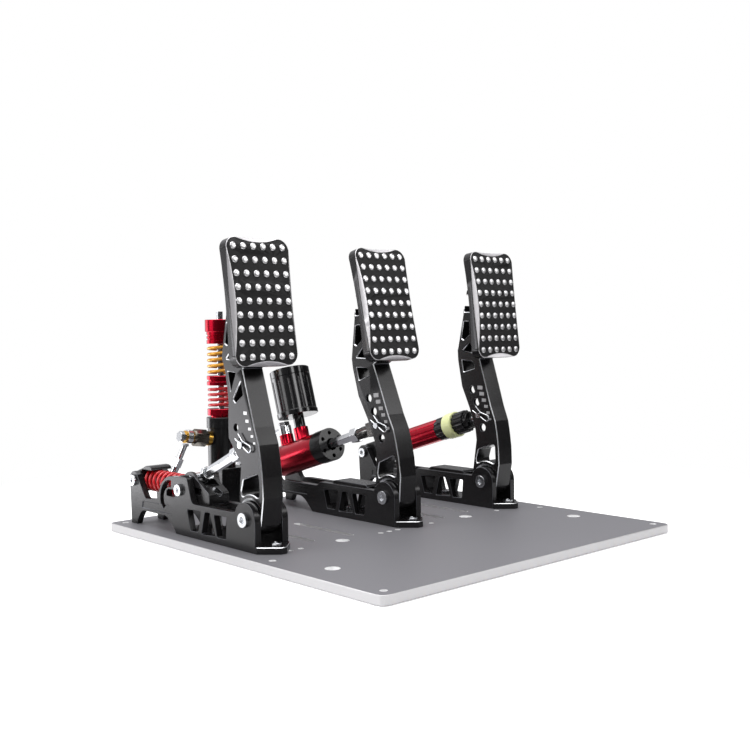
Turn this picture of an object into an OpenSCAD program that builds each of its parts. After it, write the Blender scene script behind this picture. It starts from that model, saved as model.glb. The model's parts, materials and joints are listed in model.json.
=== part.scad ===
// Sim racing pedal set: clutch, brake and throttle modules on one base plate.
// Millimetres. X runs to the driver's right, Y away from the driver, Z up.
// The base plate is centred on X and Y, and its underside is Z = 0.

/* [Base plate] */
// width of the base plate, left to right
plate_width = 380; // [360:1:420]
// depth of the base plate, front to back
plate_depth = 405; // [390:1:440]
// thickness of the base plate
plate_thickness = 8; // [5:0.5:12]
// setback of the rounded plate corners
plate_corner = 8; // [2:1:16]
// left-to-right spacing of the corner holes
corner_spacing_x = 356; // [330:1:364]
// front-to-back spacing of the corner holes
corner_spacing_y = 381; // [360:1:389]
// radius of the small screw holes
small_hole_radius = 3.25; // [2:0.05:4]
// radius of the large access holes
large_hole_radius = 6.5; // [4:0.25:8]
// width of the long adjustment slots
slot_width = 7; // [5:0.5:9]

/* [Pedal modules] */
// middle of the clutch module
clutch_x = -154.8; // [-160:0.1:-130]
// middle of the brake module
brake_x = 10; // [-20:0.1:40]
// middle of the throttle module
throttle_x = 152.8; // [120:0.1:160]
// overall width of a module across its side plates
module_width = 36; // [32:0.5:40]
// thickness of one side plate
side_thickness = 6.5; // [5:0.5:8]
// front-to-back place of the pivot line
pivot_y = -9; // [-15:0.5:0]
// height of the pivot line above the underside of the base plate
pivot_z = 35.5; // [33:0.5:40]
// radius of the pivot shafts
shaft_radius = 5; // [4:0.25:6]
// outer radius of the pivot bushes
bush_radius = 8; // [7:0.25:9]
// thickness of the floor block between the side plates
foot_thickness = 6; // [4:0.5:8]

/* [Arms and pads] */
// width of a pedal arm
arm_width = 22; // [18:0.5:22.4]
// wall thickness of the arm channel
arm_wall = 4; // [3:0.25:5]
// height above the pivot where the arm's rear channel starts
channel_low = 45; // [43:0.5:50]
// height above the pivot where the channel of the brake and throttle arms ends
channel_top = 109; // [104:0.5:112]
// height above the pivot where the clutch arm's channel ends
clutch_channel_top = 94; // [86:0.5:96]
// radius of the round recess on each side of an arm, round its hub
recess_radius = 16.2; // [14:0.1:17]
// width of the recess's bevelled rim
recess_rim = 2; // [1:0.1:3]
// depth of the recess
recess_depth = 1.2; // [0.5:0.1:2]
// radius of the side plates' round ears
ear_radius = 15.3; // [14:0.1:17]
// backward lean of the brake arm in degrees
brake_lean = 5; // [0:0.5:8]
// backward lean of the throttle arm in degrees
throttle_lean = -0.5; // [-2:0.5:4]
// radius of the clevis pins
pin_radius = 3; // [2.5:0.25:3.5]
// width of a pad
pad_width = 66; // [55:1:75]
// height of a pad
pad_height = 111; // [100:1:120]
// thickness of a pad from its crown to its back
pad_thickness = 10; // [8:0.5:13]
// radius of a pad's corners
pad_corner = 10; // [4:0.5:14]
// radius of the pad's front curve
pad_curve = 495; // [300:5:900]
// backward tilt of the pads against their arms in degrees
pad_tilt = 6.9; // [0:0.1:12]
// shift of the pads to the left of their arms
pad_shift = 3; // [0:0.5:10]
// further shift of the throttle pad to the left
throttle_pad_shift = 8.6; // [0:0.1:12]
// columns of studs on a pad
stud_columns = 6; // [3:1:7]
// rows of studs on a pad
stud_rows = 9; // [5:1:10]
// left-to-right spacing of the studs
stud_spacing_x = 10.4; // [8:0.1:12]
// up-and-down spacing of the studs
stud_spacing_z = 11.9; // [9:0.1:13]
// radius of a stud
stud_radius = 2.9; // [2:0.1:4]
// height of a stud above the pad face
stud_height = 0.8; // [0.4:0.1:1.5]
// depth of the scoop along a pad's left and right edges
side_scoop = 2.47; // [1:0.01:3.5]
// radius of the scoop along a pad's left and right edges
side_scoop_radius = 1240; // [600:10:2000]
// depth of the scoop along a pad's top and bottom edges
end_scoop = 2.4; // [1:0.01:3.5]
// radius of the scoop along a pad's top and bottom edges
end_scoop_radius = 100; // [60:5:300]

/* [Springs] */
// radius of the rod that guides the clutch spring
guide_radius = 3.75; // [3:0.05:3.8]
// radius of the clutch spring, to the middle of its wire
clutch_coil = 9.5; // [9.3:0.05:9.6]
// wire radius of the clutch spring
clutch_wire = 1.6; // [1:0.1:1.7]
// turns of the clutch spring
clutch_turns = 9; // [6:1:10]
// radius of the brake springs, to the middle of their wire
brake_coil = 12.3; // [10:0.1:12.6]
// wire radius of the brake springs
brake_wire = 1.6; // [1.2:0.1:1.8]
// turns of the lower brake spring
lower_turns = 4; // [2:1:4]
// turns of the upper brake spring
upper_turns = 5; // [3:1:5]

/* [Brake load unit] */
// left-to-right place of the upright cylinder
load_x = -68; // [-80:1:-60]
// front-to-back place of the upright cylinder
load_y = 179.5; // [170:0.5:182]
// outer radius of the upright cylinder
load_radius = 14.4; // [12:0.1:16]

/* [Fits] */
// radial gap between parts that turn or slide on each other
running_gap = 0.05; // [0.01:0.01:0.1]
// radial gap round screws and seated pins
seat_gap = 0.05; // [0.02:0.01:0.2]
// radial gap at the free end of the clutch pushrod
open_gap = 0.65; // [0.6:0.05:0.8]
// radial gap round the brake piston and its rod
piston_gap = 0.35; // [0.3:0.05:0.5]
// radial gap between the throttle sleeve and its inner tube
sleeve_gap = 1.2; // [1.1:0.1:1.5]

/* [Hidden] */
$fn = 48;
inner_half = module_width / 2 - side_thickness;
between_half = inner_half - 0.1;
arm_half = arm_width / 2;
top_z = plate_thickness;
pin_y = 8.5;
pin_z = 70;
clutch_pin_y = 10;
clutch_pin_z = 64;
brake_pin_at = [pivot_y + pin_y * cos(brake_lean) + pin_z * sin(brake_lean), pivot_z - pin_y * sin(brake_lean) + pin_z * cos(brake_lean)];
throttle_pin_at = [pivot_y + pin_y * cos(throttle_lean) + pin_z * sin(throttle_lean), pivot_z - pin_y * sin(throttle_lean) + pin_z * cos(throttle_lean)];
clutch_pin_at = [pivot_y + clutch_pin_y, pivot_z + clutch_pin_z];
rear_y = 180;
rod_height = 50.5;
rear_z = rod_height + 1;
carriage_y = 87;
carriage_z = rod_height + 10.5;
clutch_spring_from = 106;
clutch_spring_to = 176;
lower_spring_from = 117;
lower_spring_to = 142;
upper_spring_from = 152;
upper_spring_to = 186;
spring_ends = 0.02;
sensor_z = 83.8;
sensor_tilt = 8;
banjo_at = 42.05;
stem_lean = 19.7;
stem_back = 11.5;
brake_slope = atan2(brake_pin_at[1] - rear_z, rear_y - brake_pin_at[0]);
brake_reach = norm([brake_pin_at[1] - rear_z, rear_y - brake_pin_at[0]]);
throttle_slope = atan2(throttle_pin_at[1] - rear_z, rear_y - throttle_pin_at[0]);
throttle_reach = norm([throttle_pin_at[1] - rear_z, rear_y - throttle_pin_at[0]]);
clutch_slope = atan2(clutch_pin_at[1] - carriage_z, carriage_y - clutch_pin_at[0]);
clutch_reach = norm([clutch_pin_at[1] - carriage_z, carriage_y - clutch_pin_at[0]]);
black = [0.06, 0.06, 0.07];
red = [0.62, 0.04, 0.05];
silver = [0.78, 0.79, 0.8];
gold = [0.8, 0.62, 0.28];

// Corner softening: each point is [y, z, setback]; a setback of 0 keeps a sharp corner.
function curve_point(a, b, c, t) = a * (1 - t) * (1 - t) + b * 2 * t * (1 - t) + c * t * t;
function toward(a, b, d) = a + (b - a) * min(0.48, d / norm(b - a));
function flat2(p) = [p[0], p[1]];
function soft_corner(a, b, c, d) = [for (k = [0:3]) curve_point(toward(b, a, d), b, toward(b, c, d), k / 3)];
function soft(pts) = let(n = len(pts))
    [for (i = [0:n - 1])
        each (pts[i][2] == 0 ? [flat2(pts[i])]
            : soft_corner(flat2(pts[(i + n - 1) % n]), flat2(pts[i]), flat2(pts[(i + 1) % n]), pts[i][2]))];
function with_setback(pts, d) = [for (p = pts) [p[0], p[1], d]];
function arc(cy, cz, r, a0, a1, n) = [for (i = [0:n]) let(a = a0 + (a1 - a0) * i / n) [cy + r * cos(a), cz + r * sin(a)]];

// Extrudes a drawing in Y and Z along X.
module along_x(x0, x1) {
    translate([x0, 0, 0])
        rotate([90, 0, 90])
            linear_extrude(height = x1 - x0)
                children();
}

module rod_x(x0, x1, r) {
    translate([x0, 0, 0])
        rotate([0, 90, 0])
            cylinder(h = x1 - x0, r = r);
}

module rod_y(y0, y1, r) {
    translate([0, y0, 0])
        rotate([-90, 0, 0])
            cylinder(h = y1 - y0, r = r);
}

module rod_z(z0, z1, r) {
    translate([0, 0, z0])
        cylinder(h = z1 - z0, r = r);
}

module hex_y(y0, y1, r) {
    translate([0, y0, 0])
        rotate([-90, 0, 0])
            cylinder(h = y1 - y0, r = r, $fn = 6);
}

// A helical wire between two seats, as one closed tube of eight rings a turn and six sides.
function coil_height(i, wire, z0, z1, turns) =
    let(t = i / (turns * 8), u = max(0, min(1, (t - spring_ends) / (1 - 2 * spring_ends))), end = wire + 0.3)
    z0 + end + (z1 - z0 - 2 * end) * (0.1 * t + 0.9 * u);
function coil_points(r, wire, z0, z1, turns) =
    [for (i = [0:turns * 8]) for (k = [0:5])
        let(a = i * 45, q = k * 60, rr = r + wire * cos(q))
        [rr * cos(a), rr * sin(a), coil_height(i, wire, z0, z1, turns) + wire * sin(q)]];
function coil_gap(wire, z0, z1, turns) =
    min([for (i = [0:turns * 8 - 8]) coil_height(i + 8, wire, z0, z1, turns) - coil_height(i, wire, z0, z1, turns)])
    - 2 * wire;

module coil(r, wire, z0, z1, turns) {
    steps = turns * 8;
    side_faces = [for (i = [0:steps - 1]) for (k = [0:5])
        [i * 6 + k, i * 6 + (k + 1) % 6, (i + 1) * 6 + (k + 1) % 6, (i + 1) * 6 + k]];
    end_faces = [[for (k = [5:-1:0]) k], [for (k = [0:5]) steps * 6 + k]];
    polyhedron(points = coil_points(r, wire, z0, z1, turns), faces = concat(side_faces, end_faces), convexity = 10);
}

// Places children in the local frame of an arm, whose origin is its pivot.
module arm_frame(x, lean) {
    translate([x, pivot_y, pivot_z])
        rotate([-lean, 0, 0])
            children();
}

// Places children with Y along the pushrod, from the arm pin to the rear.
module clutch_line() {
    translate([clutch_x, clutch_pin_at[0], clutch_pin_at[1]])
        rotate([-clutch_slope, 0, 0])
            children();
}

module brake_line() {
    translate([brake_x, brake_pin_at[0], brake_pin_at[1]])
        rotate([-brake_slope, 0, 0])
            children();
}

module throttle_line() {
    translate([throttle_x, throttle_pin_at[0], throttle_pin_at[1]])
        rotate([-throttle_slope, 0, 0])
            children();
}

module load_line() {
    translate([load_x, load_y, 0])
        children();
}

// Base plate

module slot_cut(x, y0, y1) {
    for (y = [y0, y1])
        translate([x, y, -1])
            cylinder(h = plate_thickness + 2, d = slot_width);
    translate([x - slot_width / 2, y0, -1])
        cube([slot_width, y1 - y0, plate_thickness + 2]);
}

module hole_cut(x, y, r) {
    translate([x, y, -1])
        cylinder(h = plate_thickness + 2, r = r);
}

module base_plate() {
    w = plate_width / 2;
    d = plate_depth / 2;
    color([0.62, 0.63, 0.65])
        difference() {
            linear_extrude(height = plate_thickness)
                polygon(soft(with_setback([[-w, -d], [w, -d], [w, d], [-w, d]], plate_corner)));
            for (x = [-1, 1])
                for (y = [-1, 1])
                    hole_cut(x * corner_spacing_x / 2, y * corner_spacing_y / 2, small_hole_radius);
            for (x = [-176.7, 176.7])
                hole_cut(x, -54, small_hole_radius);
            for (x = [-159.4, 159.4])
                hole_cut(x, -110.6, large_hole_radius);
            for (x = [-82.4, 82.4])
                hole_cut(x, -33.4, large_hole_radius);
            for (x = [-142, -130.5, -35, -24, -13, 33, 130.5])
                hole_cut(x, -33.4, 2.75);
            for (x = [-61, 61])
                slot_cut(x, -19.5, 60);
            for (x = [-103, 103])
                slot_cut(x, -13.5, 60);
            for (x = [clutch_x, brake_x, throttle_x])
                for (y = [-30, 60])
                    hole_cut(x, y, small_hole_radius);
            for (x = [-20, 20])
                hole_cut(load_x + 4 + x, load_y - 9, small_hole_radius);
        }
}

// Side plates

function rear_top() = concat([[159, 27.1, 3], [172, 46, 1]], with_setback(arc(rear_y, rear_z - top_z, 9, 135, 20, 5), 0));
function rear_leg() = [[186.5, 0, 0], [176, 0, 0], [174, 5, 2], [166, 15, 5], [120, 15, 4], [112, 10, 4], [102, 0, 0]];
function ear() = with_setback(arc(pivot_y, pivot_z - top_z, ear_radius, 180, 20, 10), 0);
function high_outline() = soft(concat([[pivot_y - ear_radius + 0.1, 0, 0]], ear(), [[12, 32, 3], [74.6, 31.5, 4], [82.5, 54.9, 3],
    [116.8, 53.7, 6], [128.3, 45.9, 3], [132.5, 37.5, 2], [137.6, 29, 3]], rear_top(), [[188, 40, 1]], rear_leg()));
function low_outline() = soft(concat([[pivot_y - ear_radius + 0.1, 0, 0]], ear(), [[12, 33, 3], [88, 33, 2], [94, 28.8, 2],
    [150, 28.8, 4]], rear_top(), [[188, 40, 1]], rear_leg()));
function window_one() = soft(with_setback([[82.7, 25.7], [59.4, 26.7], [64.3, 6.8], [77.3, 6.4]], 1.5));
function window_two() = soft(with_setback([[53.5, 26.5], [45.1, 27.1], [36.7, 6.9], [59.3, 5.6]], 1.5));
function window_three() = soft(with_setback([[38.5, 26], [18.4, 26.8], [19.8, 6.6], [33.5, 6]], 1.5));
function panel() = [[164.1, 24], [165.5, 17.5], [110.9, 17.5], [114.2, 25.8]];
function hook_slot() = concat(arc(112.5, 32, 18, -38, 98, 12), arc(112.5, 32, 11.6, 98, -38, 10));
function carriage_window() = soft(with_setback([[104, 34.5], [118.5, 34.5], [119, 39.5], [115.5, 41.5], [104, 41.5]], 1));

// x_side is -1 for the left plate of a module and 1 for its right plate.
module side_plate(x, x_side, high) {
    x0 = x_side < 0 ? x - module_width / 2 : x + inner_half;
    face = x_side < 0 ? x0 - 1 : x0 + side_thickness - 0.8;
    color(black)
        difference() {
            translate([0, 0, top_z])
                along_x(x0, x0 + side_thickness)
                    difference() {
                        polygon(high ? high_outline() : low_outline());
                        polygon(window_one());
                        polygon(window_two());
                        polygon(window_three());
                        if (high)
                            polygon(hook_slot());
                        if (high)
                            polygon(carriage_window());
                    }
            translate([0, 0, top_z])
                along_x(face, face + 1.8)
                    polygon(panel());
            translate([x0 - 1, pivot_y, pivot_z])
                rod_x(0, side_thickness + 2, shaft_radius + seat_gap);
            translate([x0 - 1, rear_y, rear_z])
                rod_x(0, side_thickness + 2, 3 + seat_gap);
            if (high)
                translate([x0 - 1, 95, rod_height])
                    rod_x(0, side_thickness + 2, 3 + seat_gap);
        }
}

module clutch_left_plate() {
    side_plate(clutch_x, -1, true);
}

module clutch_right_plate() {
    side_plate(clutch_x, 1, true);
}

module brake_left_plate() {
    side_plate(brake_x, -1, false);
}

module brake_right_plate() {
    side_plate(brake_x, 1, false);
}

module throttle_left_plate() {
    side_plate(throttle_x, -1, false);
}

module throttle_right_plate() {
    side_plate(throttle_x, 1, false);
}

// Floor blocks with their chamfered noses

module foot(x) {
    h = module_width / 2;
    f = pivot_y - ear_radius;
    color(black)
        difference() {
            translate([x, 0, top_z])
                linear_extrude(height = foot_thickness)
                    polygon([[-3, f - 17.2], [3, f - 17.2], [h, f - 2.2], [h, f], [inner_half, f], [inner_half, 100],
                        [-inner_half, 100], [-inner_half, f], [-h, f], [-h, f - 2.2]]);
            for (y = [-30, 60])
                translate([x, y, 0])
                    rod_z(0, 30, small_hole_radius);
        }
}

module clutch_foot() {
    foot(clutch_x);
}

module brake_foot() {
    foot(brake_x);
}

module throttle_foot() {
    foot(throttle_x);
}

module bridge(x) {
    color(black)
        translate([0, 0, top_z])
            along_x(x - inner_half, x + inner_half)
                polygon([[22, 28], [76, 28], [76, 33.5], [73.5, 35.5], [24.5, 35.5], [22, 33.5]]);
}

module brake_bridge() {
    bridge(brake_x);
}

module throttle_bridge() {
    bridge(throttle_x);
}

// Pivots and fasteners

module pivot_shafts() {
    color(silver)
        for (x = [clutch_x, brake_x, throttle_x])
            translate([x, pivot_y, pivot_z])
                difference() {
                    rod_x(-module_width / 2, module_width / 2, shaft_radius);
                    rod_x(-module_width / 2 - 1, -module_width / 2 + 9, 3 + seat_gap);
                    rod_x(module_width / 2 - 9, module_width / 2 + 1, 3 + seat_gap);
                }
}

module pivot_bushes() {
    color(gold)
        for (x = [clutch_x, brake_x, throttle_x])
            for (s = [-1, 1])
                translate([x + s * 8.4, pivot_y, pivot_z])
                    difference() {
                        rod_x(-3, 3, bush_radius);
                        rod_x(-4, 4, shaft_radius + seat_gap);
                    }
}

// A socket screw with its head's outer face toward -X; s = 1 turns it round.
module socket_screw(s, head_radius, head_height, shank_radius, shank_length, socket) {
    rotate([0, 0, s > 0 ? 180 : 0])
        difference() {
            union() {
                rod_x(-head_height, 0, head_radius);
                rod_x(-0.1, shank_length, shank_radius);
            }
            translate([-head_height - 1, 0, 0])
                rotate([0, 90, 0])
                    cylinder(h = head_height * 0.7 + 1, r = socket, $fn = 6);
        }
}

module pivot_screws() {
    color(silver)
        for (x = [clutch_x, brake_x, throttle_x])
            for (s = [-1, 1])
                translate([x + s * module_width / 2, pivot_y, pivot_z])
                    socket_screw(s, 6.5, 3, 3, 8, 3.2);
}

module frame_screws() {
    color(silver) {
        for (x = [clutch_x, brake_x, throttle_x])
            for (s = [-1, 1])
                translate([x + s * module_width / 2, rear_y, rear_z])
                    socket_screw(s, 5.5, 3, 3, side_thickness + 3, 2.8);
        for (s = [-1, 1])
            translate([clutch_x + s * module_width / 2, 95, rod_height])
                socket_screw(s, 5.5, 3, 3, side_thickness + 3, 2.8);
    }
}

module mounting_bolts() {
    color(silver)
        for (x = [clutch_x, brake_x, throttle_x])
            for (y = [-30, 60])
                translate([x, y, 0])
                    difference() {
                        union() {
                            rod_z(1, top_z + foot_thickness, 3);
                            rod_z(top_z + foot_thickness, top_z + foot_thickness + 2.5, 5);
                        }
                        translate([0, 0, top_z + foot_thickness + 0.8])
                            cylinder(h = 3, r = 2.3, $fn = 6);
                    }
}

module rear_pins() {
    color(silver)
        for (x = [clutch_x, brake_x, throttle_x])
            translate([x, rear_y, rear_z])
                difference() {
                    rod_x(-inner_half, inner_half, 4.5);
                    rod_x(-inner_half - 1, -inner_half + 3.2, 3 + seat_gap);
                    rod_x(inner_half - 3.2, inner_half + 1, 3 + seat_gap);
                }
}

// Clutch spring and carriage

module clutch_spring_seat() {
    color(black)
        difference() {
            union() {
                translate([0, 0, rod_height])
                    along_x(clutch_x - between_half, clutch_x + between_half)
                        polygon(soft([[clutch_spring_to, -11, 0], [clutch_spring_to, 11.6, 0], [157.5, 11.6, 0.5],
                            [157.5, 14, 1], [161, 15.5, 2], [168, 15.7, 2], [174, 13, 2], [185, 9.5, 3], [190, 5.5, 2],
                            [190, -6.5, 2], [186, -11, 1]]));
                translate([clutch_x, 0, rod_height])
                    rod_y(163, clutch_spring_to + 0.5, 7.1);
            }
            translate([clutch_x, 0, rod_height])
                rod_y(150, 173, guide_radius + seat_gap);
            translate([clutch_x, rear_y, rear_z])
                rod_x(-15, 15, 4.5 + seat_gap);
        }
}

module clutch_guide_rod() {
    color(silver)
        translate([clutch_x, 0, rod_height])
            rod_y(64, 172.5, guide_radius);
}

module clutch_spring() {
    color(red)
        translate([clutch_x, 0, rod_height])
            rotate([-90, 0, 0])
                coil(clutch_coil, clutch_wire, clutch_spring_from, clutch_spring_to, clutch_turns);
}

module clutch_carriage() {
    color(black)
        difference() {
            translate([0, 0, rod_height])
                along_x(clutch_x - arm_half, clutch_x + arm_half)
                    polygon(soft([[56, -11.5, 2], [56, -0.5, 2], [78, 11.5, 3], [83, 17, 3], [92, 17, 3], [98, 13, 2],
                        [106, 12, 1], [106, -11.5, 1]]));
            translate([clutch_x, 0, rod_height])
                rod_y(50, 110, guide_radius + running_gap);
            translate([clutch_x, carriage_y, carriage_z])
                rod_x(-15, 15, 3 + seat_gap);
            translate([clutch_x - 7.5, 50, rod_height + 4.4])
                cube([15, 47, 20]);
            for (s = [-1, 1])
                translate([clutch_x + s * 11 - 3.3, 69, rod_height - 3.2])
                    cube([6.6, 30, 6.4]);
        }
}

module carriage_pin() {
    color(silver)
        translate([clutch_x, carriage_y, carriage_z])
            rod_x(-arm_half, arm_half, 3);
}

// Clutch pushrod

module clutch_rod_end() {
    color(silver)
        clutch_line()
            difference() {
                union() {
                    rod_x(-6, 6, 7);
                    translate([-6, 0, -6])
                        cube([12, 20, 12]);
                    rod_y(19, 24, 5.5);
                    hex_y(23, 32, 7);
                }
                rod_x(-7, 7, pin_radius + running_gap);
                rod_y(20, 33, 3.5 + seat_gap);
            }
}

module clutch_pushrod() {
    color(silver)
        clutch_line()
            difference() {
                union() {
                    rod_y(20.5, 33, 3.5);
                    hex_y(32.1, 78, 4.9);
                    rod_y(78, 88, 3.5);
                    translate([0, clutch_reach, 0])
                        rod_x(-6.8, 6.8, 5.3);
                }
                translate([0, clutch_reach, 0])
                    rod_x(-8, 8, 3 + open_gap);
            }
}

module clutch_jam_nut() {
    color(silver)
        clutch_line()
            difference() {
                hex_y(78.5, 84, 7);
                rod_y(78, 85, 3.5 + seat_gap);
            }
}

// Arms, in the pivot's frame: y back, z up.

front_edge = [[-14.5, -4], [-18.3, 19], [-17.5, 37], [-15.5, 52], [-13, 65], [-7, 80], [0.5, 104], [9, 130.5], [-5.5, 137.2]];
inner_line = [[37, -13.4], [51.5, -11.4], [64, -8.9], [79, -2.9], [103, 4.7], [129, 13.6]];
head_top = [[3.1, 208.5], [27, 205], [34, 173], [41, 140]];
plain_rear = [[40, 125], [35, 100], [24, 77], [15, 54], [13.5, 43], [16, 28], [18, 12], [15, 0]];
clutch_rear = [[35.6, 129.3], [34.8, 123], [32.2, 112], [31.1, 100.6], [31.5, 89], [31.9, 77.8], [31.6, 67.6],
    [13.3, 46.5], [15.1, 31.7], [16.5, 15.7], [15, 0]];
arm_foot = arc(0, 0, 15, -12, -160, 8);
hub_radius = 11;
spare_hole_radius = 4.2;
clutch_hole_radius = 3.5;

// The lower window: its floor is an arc round the pivot.
lower_window = soft(concat([[10.9, 33.1, 1.5], [14.1, 22.6, 1.5], [12.9, 18.4, 1.2]],
    with_setback(arc(0, 0, 21.5, 60, 115, 8), 0), [[-12.2, 19.8, 1.5], [-12.7, 24, 0], [-12.2, 34.5, 0], [-11.8, 40.3, 3.5]]));

module arm_windows() {
    polygon(soft(with_setback([[32, 171], [24.6, 171], [23.9, 156.5], [31.8, 150.7], [35.4, 152.5]], 1.2)));
    polygon(soft(with_setback([[23.5, 148], [33.8, 139], [17, 137]], 1.2)));
    polygon(lower_window);
}

// The channel between the front wall's inner line and the rear, from channel_low up to z_top.
function channel_outline(z_top) = concat([[lookup(z_top, inner_line), z_top], [60, z_top], [60, channel_low],
    [lookup(channel_low, inner_line), channel_low]],
    [for (p = inner_line) if (p[0] > channel_low && p[0] < z_top) [p[1], p[0]]]);

module side_recess() {
    intersection() {
        translate([arm_half - recess_depth, 0, 0])
            rotate([0, 90, 0])
                difference() {
                    cylinder(h = recess_depth + 1, r1 = recess_radius,
                        r2 = recess_radius + recess_rim * (recess_depth + 1) / recess_depth);
                    translate([0, 0, -1])
                        cylinder(h = recess_depth + 3, r = hub_radius);
                }
        translate([0, -12.8, -40])
            cube([arm_half + 5, 60, 80]);
    }
}

// A solid bar with windows right through it and a channel at the back for the pushrod's end.
module arm_body(rear, py, pz, z_top) {
    difference() {
        along_x(-arm_half, arm_half)
            polygon(concat(front_edge, head_top, rear, arm_foot));
        along_x(-arm_half + arm_wall, arm_half - arm_wall)
            polygon(channel_outline(z_top));
        along_x(-arm_half - 1, arm_half + 1) {
            arm_windows();
            children();
        }
        side_recess();
        mirror([1, 0, 0])
            side_recess();
        rod_x(-20, 20, bush_radius + running_gap);
        translate([0, py, pz])
            rod_x(-20, 20, pin_radius + seat_gap);
    }
}

module plain_cuts() {
    polygon(soft(with_setback([[34.8, 129], [18.6, 127.5], [16.2, 120.3], [32.2, 116]], 1.2)));
    polygon(soft(with_setback([[31.2, 181], [30, 199], [12, 201], [21, 181]], 1.5)));
    for (p = [[19.6, 97.3], [13.5, 83.9], [4.8, 57]])
        translate(p)
            circle(r = spare_hole_radius);
}

module clutch_cuts() {
    polygon(soft(with_setback([[31.8, 127.6], [19.8, 126.6], [27.6, 110]], 1)));
    polygon(soft(with_setback([[12, 119.5], [9.4, 107.6], [20.7, 100.2], [24.2, 103.4]], 1)));
    polygon(soft(with_setback([[31.2, 181], [30, 199], [12, 201], [21, 181]], 1.5)));
    translate([20.4, 78.5])
        circle(r = clutch_hole_radius);
}

module clutch_arm() {
    color(black)
        arm_frame(clutch_x, 0)
            arm_body(clutch_rear, clutch_pin_y, clutch_pin_z, clutch_channel_top)
                clutch_cuts();
}

module brake_arm() {
    color(black)
        arm_frame(brake_x, brake_lean)
            arm_body(plain_rear, pin_y, pin_z, channel_top)
                plain_cuts();
}

module throttle_arm() {
    color(black)
        arm_frame(throttle_x, throttle_lean)
            arm_body(plain_rear, pin_y, pin_z, channel_top)
                plain_cuts();
}

// Clevis pins with their wire clips on the left

module arm_pin() {
    difference() {
        union() {
            rod_x(-15, arm_half + 0.1, pin_radius);
            rod_x(arm_half, arm_half + 2, 4.6);
        }
        translate([-13, 0, 0])
            rotate([clip_turn, 0, 0])
                rod_y(-8, 8, clip_wire + seat_gap);
    }
    translate([-13, 0, 0])
        rotate([clip_turn, 0, 0])
            wire_clip();
}

// A hairpin clip: one straight leg through the pin, a bow, and a leg that springs over the pin.
clip_turn = 29;
clip_wire = 0.7;
clip_bow = 3.3;
clip_reach = 11;

module clip_leg(y, z, turn, length) {
    translate([0, y, z])
        rotate([turn, 0, 0])
            rod_y(0, length, clip_wire);
}

module wire_clip() {
    clip_leg(-clip_reach, 0, 0, clip_reach + 10);
    translate([0, -clip_reach, clip_bow])
        rotate([0, 90, 0])
            rotate([0, 0, 180])
                rotate_extrude(angle = 180)
                    translate([clip_bow, 0])
                        circle(r = clip_wire, $fn = 16);
    clip_leg(-clip_reach, 2 * clip_bow, -13.5, clip_reach);
    clip_leg(-0.6, 4.1, 16, 9);
}

module clutch_pin() {
    color(silver)
        translate([clutch_x, clutch_pin_at[0], clutch_pin_at[1]])
            arm_pin();
}

module brake_pin() {
    color(silver)
        translate([brake_x, brake_pin_at[0], brake_pin_at[1]])
            arm_pin();
}

module throttle_pin() {
    color(silver)
        translate([throttle_x, throttle_pin_at[0], throttle_pin_at[1]])
            arm_pin();
}

// Pads: a curved slab with a scooped bevel along each edge and round studs.

crown_y = -13.9;
crown_z = 188.6;
pad_back = 14.45;
function sag(z) = z * z / (2 * pad_curve);

module pad_blank() {
    h = pad_height / 2;
    w = pad_width / 2;
    intersection() {
        translate([0, pad_curve, 0])
            difference() {
                rod_x(-w, w, pad_curve, $fn = 360);
                rod_x(-w - 1, w + 1, pad_curve - pad_thickness, $fn = 360);
            }
        union() {
            for (x = [-1, 1])
                for (z = [-1, 1])
                    translate([x * (w - pad_corner), 0, z * (h - pad_corner)])
                        rod_y(-1, 20, pad_corner);
            translate([-w, -1, pad_corner - h])
                cube([2 * w, 21, 2 * (h - pad_corner)]);
            translate([pad_corner - w, -1, -h])
                cube([2 * (w - pad_corner), 21, 2 * h]);
        }
    }
}

module pad(x, lean, shift) {
    h = pad_height / 2;
    w = pad_width / 2;
    arm_frame(x, lean)
        translate([-shift, crown_y, crown_z])
            rotate([-pad_tilt, 0, 0]) {
                difference() {
                    union() {
                        pad_blank();
                        translate([shift - arm_half, pad_thickness - 0.5, -49])
                            cube([arm_width, pad_back - pad_thickness + 0.5, 69]);
                    }
                    translate([shift - arm_half - 0.3, pad_back, -h - 1])
                        cube([arm_width + 0.6, 10, h + 28]);
                    for (s = [-1, 1])
                        translate([s * w, 0, 0])
                            rotate([0, 0, s * 45])
                                translate([0, side_scoop - side_scoop_radius, 0])
                                    rotate([0, 90, 0])
                                        cylinder(h = 40, r = side_scoop_radius, center = true, $fn = 240);
                    for (s = [-1, 1])
                        translate([0, sag(h), s * h])
                            rotate([-s * 45, 0, 0])
                                translate([0, end_scoop - end_scoop_radius, 0])
                                    cylinder(h = 40, r = end_scoop_radius, center = true, $fn = 120);
                }
                for (i = [0:stud_columns - 1])
                    for (k = [0:stud_rows - 1])
                        let(z = (k - (stud_rows - 1) / 2) * stud_spacing_z)
                            translate([(i - (stud_columns - 1) / 2) * stud_spacing_x, 0, z])
                                rod_y(sag(z) - stud_height, sag(z) + 2, stud_radius, $fn = 20);
            }
}

module clutch_pad() {
    color(black)
        pad(clutch_x, 0, pad_shift);
}

module brake_pad() {
    color(black)
        pad(brake_x, brake_lean, pad_shift + 2);
}

module throttle_pad() {
    color(black)
        pad(throttle_x, throttle_lean, throttle_pad_shift);
}

// Brake pushrod, master cylinder and reservoir

module brake_clevis() {
    color([0.1, 0.1, 0.11])
        brake_line()
            difference() {
                union() {
                    rod_x(-6.2, 6.2, 7.5);
                    translate([-6.2, 0, -7])
                        cube([12.4, 24, 14]);
                    rod_y(24, 41, 6);
                }
                rod_x(-8, 8, pin_radius + running_gap);
                rod_y(30, 42, 4 + seat_gap);
            }
}

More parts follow.
